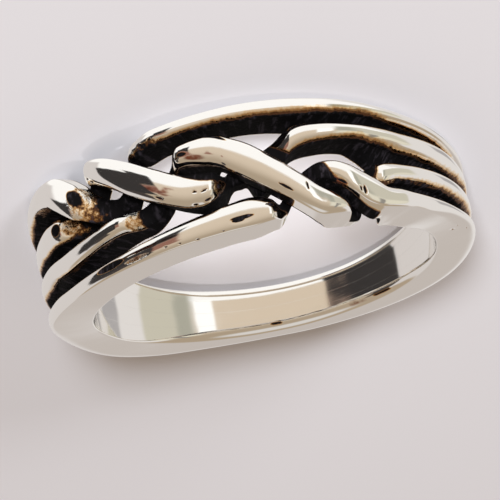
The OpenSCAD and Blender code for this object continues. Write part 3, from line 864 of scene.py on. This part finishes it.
# What the metal mirrors: tone by elevation, then soft-edged cards by direction. Azimuth 0 is the camera's
# side (-Y) and 90 is +X. Each edge is where one tone starts and the next is full, in degrees of
# elevation, and waver is how far the edges wander in azimuth and elevation. Each card has azimuth,
# elevation, half width, half height, blur in degrees and colour. The floor's own light goes from bounce
# below the horizon through low to light overhead
studio = {
    "low": (1.05, 1.04, 1.02),
    "lowEdge": (-22, -17),
    "middle": (0.7, 0.585, 0.455),
    "highEdge": (-14, 34),
    "high": (0.43, 0.345, 0.25),
    "topEdge": (56, 72),
    "top": (0.7, 0.67, 0.64),
    "waver": (4.5, 3.0),
    "waverNoise": (7.0, 3.0, 0.6),
    "backdrop": (0.75, 0.72, 0.73),
    "floorBounce": (0.5, 0.48, 0.48),
    "bounceEdge": (-1, 1),
    "floorLow": (0.15, 0.12, 0.09),
    "floorEdge": (5, 60),
    "floorLight": (0.47, 0.4, 0.33),
    "cards": [
        (130, -10, 50, 40, 8, (0.68, 0.64, 0.62)),
        (-146, -20, 44, 46, 10, (0.78, 0.75, 0.73)),
        (174, 16, 28, 16, 14, (0.56, 0.51, 0.475)),
        (-86, -10, 20, 24, 4, (0.6, 0.57, 0.47)),
        (-86, 4, 20, 12, 8, (0.76, 0.72, 0.59)),
        (-83, 10, 4, 16, 3, (0.3, 0.28, 0.25)),
        (-70, -20, 6, 12, 7, (0.43, 0.42, 0.35)),
        (-144, -30, 12, 6, 6, (0.42, 0.4, 0.4)),
        (-55, -13, 7, 10, 2, (1.15, 1.15, 1.12)),
        (36, -5, 9, 9, 4, (0.3, 0.15, 0.11)),
        (37, -24, 9, 10, 2, (0.042, 0.038, 0.037)),
        (65, -8, 22, 20, 2, (0.042, 0.038, 0.037)),
        (72, 20, 12, 12, 4, (0.06, 0.05, 0.046)),
    ],
}


# Light by direction: each card replaces what is behind it inside a window of azimuth and elevation. The
# floor gets a light of its own, and the camera sees a plain backdrop past the floor's edge. Sampling
# stays off, because it would take the mirrored studio for the floor's light
def makeStudio():
    world = bpy.data.worlds.new("softStudio")
    world.use_nodes = True
    world.cycles.sampling_method = "NONE"
    bpy.context.scene.world = world
    tree = world.node_tree
    facing = tree.nodes.new("ShaderNodeTexCoord").outputs["Generated"]
    split = tree.nodes.new("ShaderNodeSeparateXYZ")
    feed(tree, split.inputs[0], facing)
    azimuth = calc(tree, "ARCTAN2", split.outputs[0], calc(tree, "MULTIPLY", split.outputs[1], -1.0))
    azimuth = calc(tree, "MULTIPLY", azimuth, 180 / math.pi)
    elevation = calc(tree, "MULTIPLY", calc(tree, "ARCSINE", split.outputs[2]), 180 / math.pi)
    waver = calc(tree, "SUBTRACT", noise(tree, facing, *studio["waverNoise"]), 0.5)
    azimuth = calc(tree, "ADD", azimuth, calc(tree, "MULTIPLY", waver, studio["waver"][0]))
    elevation = calc(tree, "ADD", elevation, calc(tree, "MULTIPLY", waver, studio["waver"][1]))
    color = studio["low"]
    for edge, tone in (("lowEdge", "middle"), ("highEdge", "high"), ("topEdge", "top")):
        color = blend(tree, remap(tree, elevation, *studio[edge]), color, studio[tone])
    for az, el, halfAz, halfEl, blur, tone in studio["cards"]:
        around = calc(tree, "WRAP", calc(tree, "SUBTRACT", azimuth, az), 180.0, -180.0)
        around = remap(tree, calc(tree, "ABSOLUTE", around), halfAz + blur / 2, halfAz - blur / 2)
        up = calc(tree, "ABSOLUTE", calc(tree, "SUBTRACT", elevation, el))
        up = remap(tree, up, halfEl + blur / 2, halfEl - blur / 2)
        color = blend(tree, calc(tree, "MULTIPLY", around, up), color, tone)
    overhead = remap(tree, elevation, *studio["floorEdge"])
    floorTone = blend(tree, overhead, studio["floorLow"], studio["floorLight"])
    above = remap(tree, elevation, *studio["bounceEdge"])
    floorTone = blend(tree, above, studio["floorBounce"], floorTone)
    path = tree.nodes.new("ShaderNodeLightPath").outputs
    color = blend(tree, calc(tree, "GREATER_THAN", path["Diffuse Depth"], 0.5), color, floorTone)
    color = blend(tree, path["Is Camera Ray"], color, studio["backdrop"])
    feed(tree, tree.nodes["Background"].inputs["Color"], color)


# Lamps that light the floor alone: two wide ones low on the camera's side, whose shadows fall behind the
# ring and past its left end, and a small one overhead that fills the hole. Azimuth, elevation and cone in
# degrees, distance and size in metres
lamps = {
    "key": {"azimuth": -10, "elevation": 20, "distance": 0.8, "size": 0.16, "watts": 8.7,
            "color": (0.87, 0.93, 1.0)},
    "lowKey": {"azimuth": -40, "elevation": 8, "distance": 0.8, "size": 0.22, "watts": 8.4,
               "color": (0.87, 0.93, 1.0)},
    "holeFill": {"azimuth": -12, "elevation": 78, "distance": 0.3, "size": 0.01, "watts": 3.0,
                 "color": (0.92, 0.95, 1.0), "cone": 3.15, "coneBlend": 0.2},
}


# Unit vector towards an azimuth and elevation
def direction(azimuth, elevation):
    az, el = math.radians(azimuth), math.radians(elevation)
    return Vector((math.sin(az) * math.cos(el), -math.cos(az) * math.cos(el), math.sin(el)))


# Lamp aimed at the origin: a spot where it has a cone, otherwise a disc
def makeLamp(name, setup):
    back = direction(setup["azimuth"], setup["elevation"])
    if "cone" in setup:
        lamp = bpy.data.lights.new(name, "SPOT")
        lamp.spot_size = math.radians(setup["cone"])
        lamp.spot_blend = setup["coneBlend"]
        lamp.shadow_soft_size = setup["size"] / 2
    else:
        lamp = bpy.data.lights.new(name, "AREA")
        lamp.shape = "DISK"
        lamp.size = setup["size"]
    lamp.energy = setup["watts"]
    lamp.color = setup["color"]
    light = bpy.data.objects.new(name, lamp)
    light.location = back * setup["distance"]
    light.rotation_mode = "QUATERNION"
    light.rotation_quaternion = (-back).to_track_quat("-Z", "Y")
    light.visible_glossy = False
    bpy.context.collection.objects.link(light)


makeStudio()
for name, setup in lamps.items():
    makeLamp(name, setup)
print("studio made")

# Camera at the photograph's angle. View tilt is the angle from the ring's axis, roll the turn of the
# picture and turn the way round the ring, in degrees. Distance in metres, lens and sensor in mm, aim in
# pixels of the frame
cameraSetup = {"viewTilt": 68.510, "roll": -10.729, "turn": 168, "distance": 0.2, "lens": 276.048,
               "sensor": 36, "aim": (257.706, 243.438), "frame": 500, "clip": (0.01, 20)}


# Camera: its right, up and back directions in the ring's own axes, turned and leaned with the ring
def makeCamera():
    tilt, roll, turn = (math.radians(cameraSetup[key]) for key in ("viewTilt", "roll", "turn"))
    view = np.array([0, math.sin(tilt), math.cos(tilt)])
    down = np.array([0, -math.cos(tilt), math.sin(tilt)])
    right = np.array([1.0, 0, 0])
    acrossPicture = right * math.cos(roll) - down * math.sin(roll)
    downPicture = right * math.sin(roll) + down * math.cos(roll)
    spin = np.array([[math.cos(turn), -math.sin(turn), 0], [math.sin(turn), math.cos(turn), 0], [0, 0, 1]])
    pose = np.eye(4)
    pose[:3, :3] = leans() @ spin @ np.stack([acrossPicture, -downPicture, view], axis=1)
    pose[:3, 3] = pose[:3, 2] * cameraSetup["distance"] - np.array(ringPose["origin"]) * mm
    data = bpy.data.cameras.new("camera")
    data.lens = cameraSetup["lens"]
    data.sensor_width = cameraSetup["sensor"]
    data.clip_start, data.clip_end = cameraSetup["clip"]
    data.shift_x = 0.5 - cameraSetup["aim"][0] / cameraSetup["frame"]
    data.shift_y = cameraSetup["aim"][1] / cameraSetup["frame"] - 0.5
    camera = bpy.data.objects.new("camera", data)
    camera.matrix_world = Matrix(pose.tolist())
    bpy.context.collection.objects.link(camera)
    bpy.context.scene.camera = camera


makeCamera()
bpy.context.scene.view_settings.view_transform = "Standard"
bpy.context.scene.view_settings.look = "None"
print("camera set")
